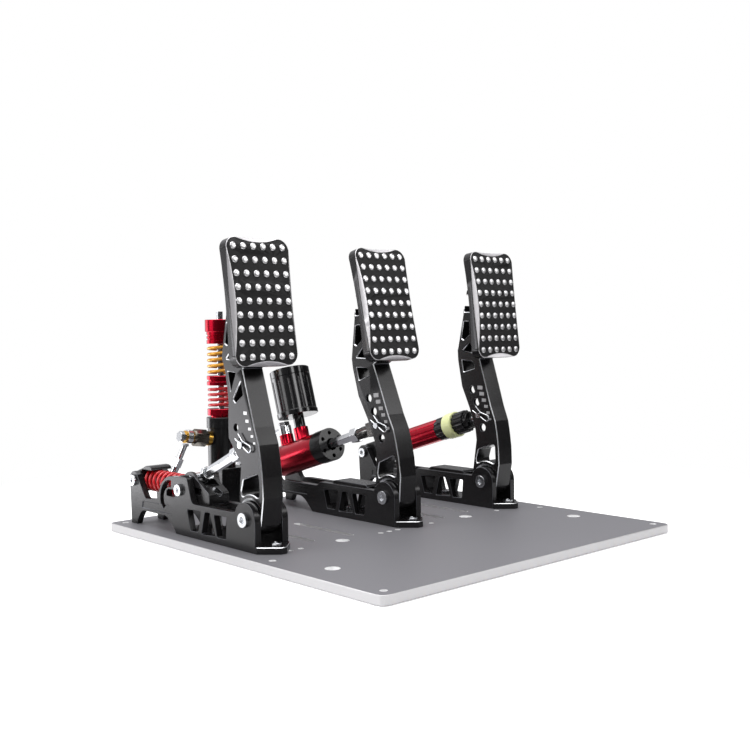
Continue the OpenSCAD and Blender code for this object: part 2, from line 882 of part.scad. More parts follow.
module brake_pushrod() {
    color(silver)
        brake_line() {
            rod_y(31, 42, 4);
            hex_y(41.1, 51.2, 8);
            hex_y(51.1, 96, 5.4);
            rod_y(95, 124, 4.6);
        }
}

module brake_piston() {
    color(silver)
        brake_line()
            difference() {
                rod_y(121, 134, 11);
                rod_y(120, 124.5, 4.6 + seat_gap);
            }
}

cap_end = 105;

module master_cylinder() {
    color(red)
        brake_line()
            difference() {
                union() {
                    rod_y(cap_end, 168, 17);
                    intersection() {
                        rod_y(167, 176, 17);
                        translate([-between_half, 160, -20])
                            cube([2 * between_half, 30, 40]);
                    }
                    translate([0, brake_reach, 0])
                        rod_x(-between_half, between_half, 8.5);
                    translate([0, 134.5, 0])
                        rod_z(0, 29, 8);
                    translate([0, 162, 0])
                        rod_z(0, 27, 7.5);
                }
                rod_y(100, 112, 6.2);
                rod_y(108, 119, 4.6 + piston_gap);
                rod_y(118.5, 152, 11 + piston_gap);
                translate([0, brake_reach, 0])
                    rod_x(-20, 20, 4.5 + seat_gap);
                translate([0, 134.5, 0])
                    rod_z(24, 40, 4 + seat_gap);
                translate([0, 162, 0])
                    rod_z(18, 40, 3 + seat_gap);
            }
}

module master_cap() {
    color(black)
        brake_line()
            difference() {
                rod_y(88, cap_end, 17.5);
                rod_y(80, cap_end + 1, 6.2);
                for (a = [0:60:300])
                    rotate([0, a, 0])
                        translate([0, 0, 12.3])
                            rod_y(80, 93, 1.9);
            }
}

module reservoir() {
    color(black)
        brake_line()
            translate([0, 134.5, 0])
                difference() {
                    union() {
                        rod_z(24.5, 30, 4);
                        rod_z(29, 43, 6);
                        rod_z(42, 47, 22.5);
                        rod_z(46, 86, 21.8);
                    }
                    rod_z(46, 90, 18);
                    rod_z(20, 50, 2);
                    for (a = [0:30:330])
                        rotate([0, 0, a + 15])
                            translate([22.4, 0, 48])
                                cylinder(h = 34, r = 1.4, $fn = 16);
                }
}

module reservoir_lid() {
    color(black)
        brake_line()
            translate([0, 134.5, 0])
                difference() {
                    union() {
                        rod_z(86, 94, 21.8);
                        rod_z(83, 86.5, 18 - seat_gap);
                    }
                    for (s = [-1, 1])
                        translate([s * 14, 0, 0])
                            rod_z(87, 96, 2 + seat_gap);
                }
}

module reservoir_screws() {
    color(silver)
        brake_line()
            for (s = [-1, 1])
                translate([s * 14, 134.5, 0]) {
                    rod_z(87.5, 94.1, 2);
                    rod_z(94, 95.6, 3.4);
                }
}

// Pressure line: sensor body and washers on the load cylinder, banjo fittings and bolts.

module sensor_line() {
    translate([load_x, load_y, sensor_z])
        rotate([0, sensor_tilt, 0])
            mirror([1, 0, 0])
                children();
}

module pressure_sensor() {
    color([0.15, 0.15, 0.16])
        sensor_line()
            difference() {
                union() {
                    rod_x(8, 20.6, 6);
                    translate([20.5, 0, 0])
                        rotate([0, 90, 0])
                            cylinder(h = 15.2, r = 9.2, $fn = 6);
                    rod_x(35.6, 37.3, 7.2);
                }
                rod_x(30, 40, 3 + seat_gap);
            }
}

module sealing_washers() {
    color(gold)
        sensor_line() {
            for (x = [37.4, 45.1])
                difference() {
                    rod_x(x, x + 1.6, 6.4);
                    rod_x(x - 1, x + 3, 3 + seat_gap);
                }
            difference() {
                rod_x(15.6, 20.4, 7.6);
                rod_x(15, 21, 6 + seat_gap);
            }
        }
}

module hose_fittings() {
    color(silver) {
        sensor_line() {
            difference() {
                rod_x(39.1, 45, 7.6);
                rod_x(30, 60, 3 + seat_gap);
            }
            rod_x(30.5, 47, 3);
            translate([banjo_at, 0, 0])
                rotate([stem_back, 0, 0])
                    rod_z(-9.6, -5, 2.8);
            translate([46.8, 0, 0])
                rotate([0, 90, 0])
                    cylinder(h = 6, r = 5.8, $fn = 6);
        }
        translate(hose_top)
            rotate([stem_back, stem_lean, 0]) {
                rod_z(-24.4, -8.2, 3.1);
                translate([0, 0, -33])
                    cylinder(h = 9, r = 5.4, $fn = 6);
                rod_z(-stem_length, -32.5, 4);
            }
        brake_line()
            translate([0, 162, 0]) {
                difference() {
                    union() {
                        rod_z(27.1, 37, 7);
                        translate([0, 0, 32])
                            rod_y(4, 16, 4.2);
                    }
                    rod_z(20, 40, 3 + seat_gap);
                }
                rod_z(18.5, 37.3, 3);
                translate([0, 0, 37.1])
                    cylinder(h = 4.2, r = 6.4, $fn = 6);
            }
    }
}

// Hose route: round numbers chosen by hand between its two fittings.

hose_radius = 3;
stem_length = 42;
hose_top = [load_x - banjo_at * cos(sensor_tilt), load_y, sensor_z + banjo_at * sin(sensor_tilt)];
stem_way = [-cos(stem_back) * sin(stem_lean), sin(stem_back), -cos(stem_back) * cos(stem_lean)];
hose_start = hose_top + (stem_length + 0.2) * stem_way;
hose_end_y = brake_pin_at[0] + 178.35 * cos(brake_slope) + 32 * sin(brake_slope);
hose_end_z = brake_pin_at[1] - 178.35 * sin(brake_slope) + 32 * cos(brake_slope);
hose_stops = [hose_start, hose_start + 6 * stem_way, [-127, 191.5, 36], [-121, 194.5, 26], [-110, 197, 20], [-95, 198.5, 18],
    [-80, 198.5, 19.5], [-64, 198.5, 26], [-48, 198.5, 36], [-32, 198.5, 52], [-16, 198.5, 70], [-2, 198, 80], [7, 194.5, hose_end_z + 1 - 5],
    [brake_x, hose_end_y + 5, hose_end_z - 1.6], [brake_x, hose_end_y, hose_end_z]];
function smooth_point(a, b, c, d, t) = 0.5 * ((2 * b) + (c - a) * t + (2 * a - 5 * b + 4 * c - d) * t * t
    + (3 * b - a - 3 * c + d) * t * t * t);
hose_last = len(hose_stops) - 1;
function hose_stop(i) = hose_stops[max(0, min(hose_last, i))];
hose_path = [for (i = [0:hose_last - 1]) for (k = [0:i == hose_last - 1 ? 2 : 1])
    smooth_point(hose_stop(i - 1), hose_stop(i), hose_stop(i + 1), hose_stop(i + 2), k / 2)];
hose_count = len(hose_path);
function hose_way(i) = let(v = hose_path[min(hose_count - 1, i + 1)] - hose_path[max(0, i - 1)]) v / norm(v);
function carried(u, w) = let(v = u - w * (u * w)) v / norm(v);
hose_sides = [for (i = 0, u = carried([0, 1, 0], hose_way(0)); i < hose_count; i = i + 1,
    u = i < hose_count ? carried(u, hose_way(i)) : u) u];

module brake_hose() {
    ring = 10;
    pts = [for (i = [0:hose_count - 1]) for (k = [0:ring - 1])
        let(a = k * 360 / ring, u = hose_sides[i], v = cross(hose_way(i), u))
        hose_path[i] + hose_radius * (u * cos(a) + v * sin(a))];
    walls = [for (i = [0:hose_count - 2]) for (k = [0:ring - 1])
        [i * ring + k, i * ring + (k + 1) % ring, (i + 1) * ring + (k + 1) % ring, (i + 1) * ring + k]];
    ends = [[for (k = [ring - 1:-1:0]) k], [for (k = [0:ring - 1]) (hose_count - 1) * ring + k]];
    color([0.35, 0.36, 0.38])
        polyhedron(points = pts, faces = concat(walls, ends), convexity = 10);
}

// Brake load unit

module load_cylinder() {
    color(black)
        load_line()
            difference() {
                union() {
                    rod_z(top_z, 97, load_radius);
                    rod_z(96.5, 108, load_radius + 1.1);
                    translate([-26, -16, top_z])
                        cube([60, 14, 8]);
                    translate([-11, -16, top_z])
                        cube([34, 30, 46]);
                }
                rod_z(62, 110, 11);
                rod_z(50, 70, 3.5 + seat_gap);
                for (x = [-20, 20])
                    translate([x + 4, -9, 0])
                        rod_z(0, 60, small_hole_radius);
                translate([0, 0, sensor_z])
                    rotate([0, sensor_tilt - 90, 0])
                        rod_z(7, 30, 6 + seat_gap);
            }
}

module load_rod() {
    color(silver)
        load_line()
            rod_z(50.2, 220, 3.5);
}

module load_piston() {
    color(red)
        load_line()
            difference() {
                union() {
                    rod_z(94, 110.1, 11 - running_gap);
                    rod_z(110, lower_spring_from, load_radius);
                }
                rod_z(90, 120, 3.5 + running_gap);
            }
}

module load_mid_seat() {
    color(red)
        load_line()
            difference() {
                rod_z(lower_spring_to, upper_spring_from, load_radius);
                rod_z(140, 155, 3.5 + running_gap);
                difference() {
                    rod_z(146, 148, 20);
                    rod_z(145, 149, 12.8);
                }
            }
}

module load_cap() {
    color(red)
        load_line()
            difference() {
                union() {
                    rod_z(upper_spring_to, 199, load_radius - 0.4);
                    rod_z(198.7, 211.5, load_radius + 1.1);
                }
                rod_z(180, 220, 3.5 + seat_gap);
                for (z = [190, 194])
                    difference() {
                        rod_z(z, z + 1.4, 20);
                        rod_z(z - 1, z + 3, 13);
                    }
            }
}

module lower_spring() {
    color(red)
        load_line()
            coil(brake_coil, brake_wire, lower_spring_from, lower_spring_to, lower_turns);
}

module upper_spring() {
    color(gold)
        load_line()
            coil(brake_coil, brake_wire, upper_spring_from, upper_spring_to, upper_turns);
}

// Throttle damper

module throttle_tube() {
    color(black)
        throttle_line()
            difference() {
                union() {
                    rod_y(106, 166, 11 - sleeve_gap);
                    translate([-between_half, 165, -9.8])
                        cube([2 * between_half, throttle_reach - 165, 19.6]);
                    translate([0, throttle_reach, 0])
                        rod_x(-between_half, between_half, 8.2);
                }
                rod_y(90, 150, 7);
                translate([0, throttle_reach, 0])
                    rod_x(-20, 20, 4.5 + seat_gap);
            }
}

module throttle_rod() {
    color(silver)
        throttle_line()
            difference() {
                union() {
                    rod_x(-6, 6, 7);
                    rod_y(2, 122, 4);
                }
                rod_x(-8, 8, pin_radius + running_gap);
            }
}

module throttle_sleeve() {
    color(red)
        throttle_line()
            difference() {
                rod_y(71.1, 140, 12.5);
                rod_y(82, 141, 11);
                rod_y(60, 90, 4 + seat_gap);
                for (a = [0:30:330])
                    rotate([0, a, 0])
                        translate([0, 0, 13.1])
                            rod_y(70, 150, 1.4, $fn = 16);
            }
}

module throttle_end_ring() {
    color(black)
        throttle_line()
            difference() {
                rod_y(58, 71, 12.9);
                rod_y(50, 80, 4 + seat_gap);
                for (a = [0:36:324])
                    rotate([0, a, 0])
                        translate([0, 0, 14.4])
                            rod_y(50, 80, 2.7, $fn = 24);
            }
}

module throttle_bumper() {
    color([0.78, 0.8, 0.5])
        throttle_line()
            difference() {
                rod_y(44, 57.7, 14.2);
                rod_y(40, 70, 4.4);
            }
}

module throttle_knob() {
    color(black)
        throttle_line()
            difference() {
                union() {
                    rod_y(28.5, 43.7, 12.4);
                    rod_y(23.5, 28.6, 8.8);
                }
                rod_y(20, 60, 4 + seat_gap);
                for (a = [0:24:336])
                    rotate([0, a, 0])
                        translate([0, 0, 13.3])
                            rod_y(27, 60, 1.9, $fn = 20);
            }
}

echo(clutch_spring_gap = coil_gap(clutch_wire, clutch_spring_from, clutch_spring_to, clutch_turns));
echo(lower_spring_gap = coil_gap(brake_wire, lower_spring_from, lower_spring_to, lower_turns));
echo(upper_spring_gap = coil_gap(brake_wire, upper_spring_from, upper_spring_to, upper_turns));

base_plate();
clutch_left_plate();
clutch_right_plate();
brake_left_plate();
brake_right_plate();
throttle_left_plate();
throttle_right_plate();
clutch_foot();
brake_foot();
throttle_foot();
brake_bridge();
throttle_bridge();
pivot_shafts();
pivot_bushes();
pivot_screws();
frame_screws();
mounting_bolts();
rear_pins();
clutch_spring_seat();
clutch_guide_rod();
clutch_spring();
master_cylinder();
master_cap();
reservoir();
reservoir_lid();
reservoir_screws();
hose_fittings();
brake_hose();
load_cylinder();
load_rod();
load_cap();
lower_spring();
upper_spring();
pressure_sensor();
sealing_washers();
throttle_tube();
load_piston();
load_mid_seat();
clutch_carriage();
carriage_pin();
clutch_arm();
clutch_pad();
clutch_pin();
clutch_rod_end();
clutch_pushrod();
clutch_jam_nut();
brake_arm();
brake_pad();
brake_pin();
brake_clevis();
brake_pushrod();
brake_piston();
throttle_arm();
throttle_pad();
throttle_pin();
throttle_rod();
throttle_sleeve();
throttle_end_ring();
throttle_bumper();
throttle_knob();
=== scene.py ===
import json
import math

import bmesh
import bpy
from mathutils import Matrix, Vector


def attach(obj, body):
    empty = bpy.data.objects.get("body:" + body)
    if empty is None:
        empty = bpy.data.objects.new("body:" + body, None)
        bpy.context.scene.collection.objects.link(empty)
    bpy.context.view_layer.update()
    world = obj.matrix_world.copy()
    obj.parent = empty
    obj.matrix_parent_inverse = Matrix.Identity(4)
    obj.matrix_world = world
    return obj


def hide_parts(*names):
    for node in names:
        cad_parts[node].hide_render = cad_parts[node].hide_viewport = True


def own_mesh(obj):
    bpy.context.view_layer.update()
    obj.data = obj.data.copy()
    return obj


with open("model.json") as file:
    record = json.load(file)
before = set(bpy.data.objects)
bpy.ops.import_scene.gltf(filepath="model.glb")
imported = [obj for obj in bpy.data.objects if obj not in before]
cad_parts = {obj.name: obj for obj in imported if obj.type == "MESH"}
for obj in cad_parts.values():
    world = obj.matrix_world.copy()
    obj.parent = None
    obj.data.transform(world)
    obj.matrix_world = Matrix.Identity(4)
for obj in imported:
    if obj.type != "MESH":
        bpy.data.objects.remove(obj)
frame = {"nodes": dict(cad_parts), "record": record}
NODES = frame["nodes"]
BODY_OF = {}
for body, members in frame["record"]["behaviour"]["bodies"].items():
    for member in members:
        BODY_OF[member] = body

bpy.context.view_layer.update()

# Lengths below are in millimetres and angles in degrees, as in the part's source
MM = 0.001
DECK_HALF_X, DECK_HALF_Y = 190.0, 202.5
PIVOT_Y, PIVOT_Z = -9.0, 35.5
ARM_HALF_WIDTH = 11.0


# Colour and node helpers

def linear(value):
    return value / 12.92 if value <= 0.04045 else ((value + 0.055) / 1.055) ** 2.4


def shade(code):
    """The linear colour of an sRGB hex code."""
    code = code.lstrip("#")
    return tuple(linear(int(code[i:i + 2], 16) / 255) for i in (0, 2, 4)) + (1.0,)


def add(tree, kind, links=None, **settings):
    """Adds one shader node, with its settings, input values and links by input name."""
    made = tree.nodes.new(kind)
    values = settings.pop("values", {})
    for key, value in settings.items():
        setattr(made, key, value)
    for key, value in values.items():
        made.inputs[key].default_value = value
    for key, source in (links or {}).items():
        tree.links.new(source, made.inputs[key])
    return made


def ramp(tree, source, start, stop, low=0.0, high=1.0, smooth=True):
    """Maps the source from start..stop to low..high, softly or along a straight line."""
    made = add(tree, "ShaderNodeMapRange", {"Value": source},
               values={"From Min": start, "From Max": stop, "To Min": low, "To Max": high},
               interpolation_type="SMOOTHSTEP" if smooth else "LINEAR")
    return made.outputs["Result"]


def calc(tree, operation, *terms, use_clamp=False):
    """A math node whose terms are outputs of other nodes or plain numbers."""
    made = add(tree, "ShaderNodeMath", operation=operation, use_clamp=use_clamp)
    for i, term in enumerate(terms):
        if isinstance(term, (int, float)):
            made.inputs[i].default_value = term
        else:
            tree.links.new(term, made.inputs[i])
    return made.outputs[0]


def principled(made):
    return made.node_tree.nodes["Principled BSDF"]


def material(name, base, metallic, roughness, ior=1.5, coat=0.0, coat_roughness=0.05):
    """A Principled material with uniform values set straight on its sockets."""
    made = bpy.data.materials.new(name)
    made.use_nodes = True
    made.diffuse_color = shade(base)
    shader = principled(made)
    shader.inputs["Base Color"].default_value = shade(base)
    shader.inputs["Metallic"].default_value = metallic
    shader.inputs["Roughness"].default_value = roughness
    shader.inputs["IOR"].default_value = ior
    shader.inputs["Coat Weight"].default_value = coat
    shader.inputs["Coat Roughness"].default_value = coat_roughness
    return made


def grain(made, size_mm, depth_mm, detail=3.0, roughness_low=None, roughness_high=None):
    """Fine surface grain: bump of a real size, and where wanted a small spread of roughness."""
    tree = made.node_tree
    place = add(tree, "ShaderNodeTexCoord")
    noise = add(tree, "ShaderNodeTexNoise", {"Vector": place.outputs["Object"]},
                values={"Scale": 1.0 / (size_mm * MM), "Detail": detail, "Roughness": 0.6})
    bump = add(tree, "ShaderNodeBump", {"Height": noise.outputs["Fac"]},
               values={"Strength": 1.0, "Distance": depth_mm * MM})
    tree.links.new(bump.outputs["Normal"], principled(made).inputs["Normal"])
    if roughness_low is not None:
        spread = ramp(tree, noise.outputs["Fac"], 0.0, 1.0, roughness_low, roughness_high,
                      smooth=False)
        tree.links.new(spread, principled(made).inputs["Roughness"])


# Materials, each with what the eye sees

# Powder-coated steel deck: flat mid grey with a very fine sandy grain, almost no shine
deck_grey = material("satin grey powder coat", "#7C7B7F", 0.25, 0.5)
grain(deck_grey, 0.5, 0.02, 2.0, 0.44, 0.56)
# Milled plate edge: bare aluminium, pale grey and evenly brushed
milled_edge = material("milled aluminium edge", "#C9C8C9", 0.8, 0.45)
grain(milled_edge, 0.8, 0.004)
# Walls of the deck's holes and slots: bare metal, nearly white against the grey as painted light
hole_wall = material("hole wall painted light", "#F6F6F6", 0.1, 0.6)
grain(hole_wall, 0.5, 0.003)
# Black anodised aluminium plates: deep black with soft sheen
black_alloy = material("black anodised aluminium", "#1D1C1D", 0.3, 0.26, 1.45)
grain(black_alloy, 0.35, 0.002, 2.0, 0.21, 0.31)
# Plain edges: a dull dark grey line, a painted highlight of light catching the edge
painted_edge_highlight = material("grey painted edge highlight", "#55565A", 0.8, 0.32)
grain(painted_edge_highlight, 0.4, 0.001)
# Diamond-cut chamfer: a bright line along the arms' front edges, window rims and recess rims,
# and along the feet's noses
bright_cut = material("bright cut chamfer", "#F0F1F3", 1.0, 0.3)
grain(bright_cut, 0.4, 0.001)
# Black turned parts: cap, cylinder, tube, ring and knob, a little glossier than the plates
black_turned = material("black turned aluminium", "#141415", 0.3, 0.27, 1.45,
                        coat=0.15, coat_roughness=0.08)
grain(black_turned, 0.3, 0.002)
# Pad face: black with a coarse sanded grain for grip
pad_face = material("sanded black pad face", "#131213", 0.1, 0.62)
grain(pad_face, 0.45, 0.05, 4.0, 0.5, 0.75)
# Bare pad metal: scooped edges and the thin bevel round each pad, brushed and pale
pad_metal = material("bare brushed aluminium", "#DEDCDE", 0.9, 0.42)
grain(pad_metal, 0.3, 0.004, 2.0, 0.36, 0.5)
# Pad studs: turned bright metal with a low crown, each catching the light at its foot
stud_metal = material("bright turned studs", "#EFEEEF", 1.0, 0.36)
grain(stud_metal, 0.5, 0.01, 2.0, 0.3, 0.42)
# Red anodised aluminium: deep crimson metal with crisp bright streaks
red_alloy = material("red anodised aluminium", "#B8102A", 1.0, 0.24,
                     coat=0.15, coat_roughness=0.06)
grain(red_alloy, 0.3, 0.0015)
# Red spring coating: plain glossy red enamel on wire
red_wire = material("red enamelled spring wire", "#C8141E", 0.1, 0.28,
                    coat=0.4, coat_roughness=0.1)
grain(red_wire, 0.6, 0.004)
# Gold spring coating: warm orange-gold enamel on wire
gold_wire = material("gold enamelled spring wire", "#E0A02E", 0.45, 0.3,
                     coat=0.3, coat_roughness=0.1)
grain(gold_wire, 0.6, 0.004)
# Polished steel: screws, pins and rods
steel = material("polished steel", "#D3D5D8", 1.0, 0.2)
grain(steel, 0.5, 0.0015)
# Dark chrome: the brake rod's clevis, smoky and mirror-like
dark_chrome = material("dark chrome", "#6E6C6A", 1.0, 0.22)
grain(dark_chrome, 0.4, 0.0015)
# Bright chrome: the pushrods, the rod end and the hose's elbows and stem, which mirror both
# the white and the dark sides of the room
chrome = material("bright chrome", "#E8EAEC", 1.0, 0.14)
grain(chrome, 0.5, 0.0008)
# Sensor housing: plated steel, duller than chrome
plated_steel = material("smoky plated steel", "#7B766D", 1.0, 0.2)
grain(plated_steel, 0.5, 0.002)
# Brass fittings and washers: bright yellow metal
brass = material("bright brass", "#D9A94A", 1.0, 0.24)
grain(brass, 0.5, 0.0015)
# Bearing bronze, inside the arms
bronze = material("bearing bronze", "#B98A55", 1.0, 0.4)
grain(bronze, 0.3, 0.002)
# Reservoir: glossy black with tall soft highlights
gloss_black = material("glossy black aluminium", "#121214", 0.4, 0.2, coat=0.5)
grain(gloss_black, 0.4, 0.001)
# Urethane bumper: pale yellow-green, waxy
urethane = material("pale urethane", "#DDE2A8", 0.0, 0.42)
grain(urethane, 0.8, 0.006)
principled(urethane).inputs["Subsurface Weight"].default_value = 0.2
principled(urethane).inputs["Subsurface Radius"].default_value = (0.004, 0.004, 0.002)
# Index marks: etched; the clutch arm's painted pale as painted light, the other two's greyer
# as painted shade
lit_index_mark = material("lit etched index mark", "#EDEDEE", 0.2, 0.5)
grain(lit_index_mark, 0.3, 0.003)
shaded_index_mark = material("shaded etched index mark", "#A6A5A6", 0.2, 0.5)
grain(shaded_index_mark, 0.3, 0.003)
# Braided hose: crossed steel wires under a clear sleeve
WIRES_AROUND = 8
WIRE_DEPTH = 0.15
braid = material("braided steel hose", "#9A9CA0", 0.9, 0.32, 1.45, coat=0.6, coat_roughness=0.08)
tree = braid.node_tree
hose_map = add(tree, "ShaderNodeUVMap", uv_map="hose")
around, along = add(tree, "ShaderNodeSeparateXYZ", {0: hose_map.outputs[0]}).outputs[:2]
strands = []
for hand in (1.0, -1.0):
    turned = calc(tree, "ADD", around, calc(tree, "MULTIPLY", along, hand))
    strands.append(calc(tree, "SINE", calc(tree, "MULTIPLY", turned, 2 * math.pi * WIRES_AROUND)))
wires = calc(tree, "MAXIMUM", *strands)
mixed = add(tree, "ShaderNodeMix", {"Factor": ramp(tree, wires, -1.0, 1.0, smooth=False)},
            data_type="RGBA")
mixed.inputs["A"].default_value = shade("#2B2C2E")
mixed.inputs["B"].default_value = shade("#C4C6CA")
tree.links.new(mixed.outputs["Result"], principled(braid).inputs["Base Color"])
bump = add(tree, "ShaderNodeBump", {"Height": wires},
           values={"Strength": 1.0, "Distance": WIRE_DEPTH * MM})
tree.links.new(bump.outputs["Normal"], principled(braid).inputs["Normal"])


# Mesh helpers

def link(name, data):
    """A new object in the scene for a mesh, light or camera."""
    made = bpy.data.objects.new(name, data)
    bpy.context.scene.collection.objects.link(made)
    return made


def clean_copy(node):
    """A copy of a CAD node's mesh with its flat areas joined into whole faces."""
    mesh = NODES[node].data.copy()
    mesh.name = node + "_look"
    mesh.materials.clear()
    shell = bmesh.new()
    shell.from_mesh(mesh)
    bmesh.ops.remove_doubles(shell, verts=shell.verts, dist=2e-6)
    bmesh.ops.dissolve_limit(shell, angle_limit=math.radians(0.8),
                             verts=shell.verts[:], edges=shell.edges[:])
    for face in shell.faces:
        face.smooth = True
    shell.to_mesh(mesh)
    shell.free()
    while mesh.uv_layers:
        mesh.uv_layers.remove(mesh.uv_layers[0])
    return link(mesh.name, mesh)


def dress(made, *finishes):
    for finish in finishes:
        made.data.materials.append(finish)


def stand_for(made, node):
    """Shows this object in place of a CAD node, on the node's body."""
    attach(made, BODY_OF[node])
    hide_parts(node)
    return made


def sharpen(made, degrees):
    made.data.set_sharp_from_angle(angle=math.radians(degrees))


def chamfered(made, name, mode, degrees, width_mm, finish):
    """Adds a chamfer, in the finish of this material slot, by edge weight or by angle."""
    chamfer = made.modifiers.new(name, "BEVEL")
    chamfer.limit_method = mode
    chamfer.angle_limit = math.radians(degrees)
    chamfer.width = width_mm * MM
    chamfer.segments = 1
    chamfer.use_clamp_overlap = False
    chamfer.material = finish
    chamfer.miter_outer = "MITER_SHARP"


def machined(node, main, cut, width_mm, degrees=32):
    """A machined piece: the CAD shape with a small chamfer of its own finish on each hard edge."""
    made = clean_copy(node)
    dress(made, main, cut)
    chamfered(made, "chamfer", "ANGLE", degrees, width_mm, 1)
    sharpen(made, 20)
    return stand_for(made, node)


def plain(node, main, degrees=28):
    """A CAD node shown as it is, in its own finish."""
    shown = NODES[node]
    shown.data.materials.clear()
    dress(shown, main)
    for face in shown.data.polygons:
        face.use_smooth = True
        face.material_index = 0
    sharpen(shown, degrees)


# Each arm's x, its lean back, and how far its pad sits to the left of it
PEDALS = {"clutch": (-154.8, 0.0, 3.0), "brake": (10.0, 5.0, 5.0), "throttle": (152.8, -0.5, 8.6)}
# The middle of a pad's face from the pivot, the pad's tilt to its arm, and its face's radius
PAD_FACE_Y, PAD_FACE_Z = -13.9, 188.6
TILT = 6.9
CURVE = 495.0


def arm_matrix(name):
    """From an arm's own axes, with its pivot at the origin, to the shared frame."""
    x, lean, _ = PEDALS[name]
    return (Matrix.Translation(Vector((x, PIVOT_Y, PIVOT_Z)) * MM)
            @ Matrix.Rotation(math.radians(-lean), 4, "X"))


def pad_matrix(name):
    """From a pad's own axes, with the middle of its face at the origin, to the shared frame."""
    shift = PEDALS[name][2]
    return (arm_matrix(name) @ Matrix.Translation(Vector((-shift, PAD_FACE_Y, PAD_FACE_Z)) * MM)
            @ Matrix.Rotation(math.radians(-TILT), 4, "X"))


# Material slots of the arms and feet, then of the base plate, then of the pads
BRIGHT, DULL = 1, 2
GREY, MILLED, WALL = range(3)
FACE, METAL, SIDE, STUD = range(4)


def cut_edges(made, wanted, bright_mm, dull_mm):
    """Gives the wanted edges a bright chamfer, and the other hard edges a narrow dull one."""
    dress(made, black_alloy, bright_cut, painted_edge_highlight)
    hard, kink, large_face = math.radians(32), math.radians(4), 150 * MM * MM
    shell = bmesh.new()
    shell.from_mesh(made.data)
    weight = shell.edges.layers.float.new("bevel_weight_edge")
    kinks = []
    for edge in shell.edges:
        if len(edge.link_faces) != 2:
            continue
        angle = edge.calc_face_angle()
        if angle > hard and wanted(edge):
            edge[weight] = 1.0
        if angle > kink and min(face.calc_area() for face in edge.link_faces) > large_face:
            kinks.append(edge.index)
    shell.to_mesh(made.data)
    shell.free()
    chamfered(made, "bright", "WEIGHT", 50, bright_mm, BRIGHT)
    # The dull chamfer's grey is a painted highlight along the hard edges
    chamfered(made, "dull", "ANGLE", 50, dull_mm, DULL)
    sharpen(made, 20)
    sharp = (made.data.attributes.get("sharp_edge")
             or made.data.attributes.new("sharp_edge", "BOOLEAN", "EDGE"))
    for index in kinks:
        sharp.data[index].value = True


# Arms: bright front edges, window rims and recess rim; holes and back edges in a dull painted
# highlight

# Round holes that stay dull: y and z in the arm's own axes, and a radius that takes in the rim
LEVER_HOLES = [(19.6, 97.3, 6.0), (13.5, 83.9, 6.0), (4.8, 57.0, 6.0), (8.5, 70.0, 8.0)]
PIVOT_HOLE = (0.0, 0.0, 13.0)
ROUND_HOLES = {
    "clutch": [(20.4, 78.5, 6.5), (10.0, 64.0, 8.5), PIVOT_HOLE],
    "brake": LEVER_HOLES + [PIVOT_HOLE],
    "throttle": LEVER_HOLES + [PIVOT_HOLE],
}
# The rim of each recess slopes inward from the arm's side, between these radii
RIM_INNER, RIM_OUTER = 15.5, 18.6
RIM_HALF_WIDTH = ARM_HALF_WIDTH - 1.4
SIDE_HALF_WIDTH = ARM_HALF_WIDTH - 0.1


def on_side(a, b):
    """Whether the line from a to b lies in one of the arm's two side faces."""
    return min(abs(a.x), abs(b.x)) > SIDE_HALF_WIDTH and a.x * b.x > 0


for pedal in PEDALS:
    arm = clean_copy(pedal + "_arm")
    back = arm_matrix(pedal).inverted()
    turn = back.to_3x3()
    for face in arm.data.polygons:
        points = [back @ arm.data.vertices[i].co / MM for i in face.vertices]
        normal = turn @ face.normal
        if (0.3 < abs(normal.x) < 0.97 and min(abs(p.x) for p in points) > RIM_HALF_WIDTH
                and all(RIM_INNER < math.hypot(p.y, p.z) < RIM_OUTER for p in points)):
            face.material_index = BRIGHT
    # The heights that each edge of the side faces spans, and how far back it reaches
    spans = []
    for edge in arm.data.edges:
        a, b = (back @ arm.data.vertices[i].co / MM for i in edge.vertices)
        if on_side(a, b):
            spans.append((min(a.z, b.z), max(a.z, b.z), max(a.y, b.y)))

    def front_or_window(edge):
        """An edge of a side face that has another one behind it, and isn't a round hole's."""
        if any(face.material_index == BRIGHT for face in edge.link_faces):
            return False
        a, b = (back @ v.co / MM for v in edge.verts)
        middle = (a + b) / 2
        if not on_side(a, b):
            return False
        if any(math.hypot(middle.y - y, middle.z - z) < r for y, z, r in ROUND_HOLES[pedal]):
            return False
        return any(z0 <= middle.z <= z1 and y > middle.y + 1.0 for z0, z1, y in spans)

    cut_edges(arm, front_or_window, 0.75, 0.25)
    stand_for(arm, pedal + "_arm")

# Side plates, bridges, spring seat and carriage: black all over, their edges a little paler as a
# painted highlight
for pedal in PEDALS:
    for side in ("left", "right"):
        machined(f"{pedal}_{side}_plate", black_alloy, painted_edge_highlight, 0.3)
for node in ("brake_bridge", "throttle_bridge", "clutch_spring_seat", "clutch_carriage"):
    machined(node, black_alloy, painted_edge_highlight, 0.3)

# Feet: one bright line along the top of the nose
for pedal in PEDALS:
    foot = clean_copy(pedal + "_foot")

    def nose_top(edge):
        """Whether an edge lies between the flat top and the sloped nose."""
        normals = [face.normal for face in edge.link_faces]
        return max(n.z for n in normals) > 0.9 and min(n.y for n in normals) < -0.5

    cut_edges(foot, nose_top, 0.45, 0.25)
    stand_for(foot, pedal + "_foot")

# Black turned pieces
for node in ("master_cap", "load_cylinder", "throttle_tube", "throttle_end_ring", "throttle_knob"):
    machined(node, black_turned, black_turned, 0.4, 40)

# Red turned pieces
for node in ("master_cylinder", "load_cap", "load_piston", "load_mid_seat", "throttle_sleeve"):
    machined(node, red_alloy, red_alloy, 0.35, 40)

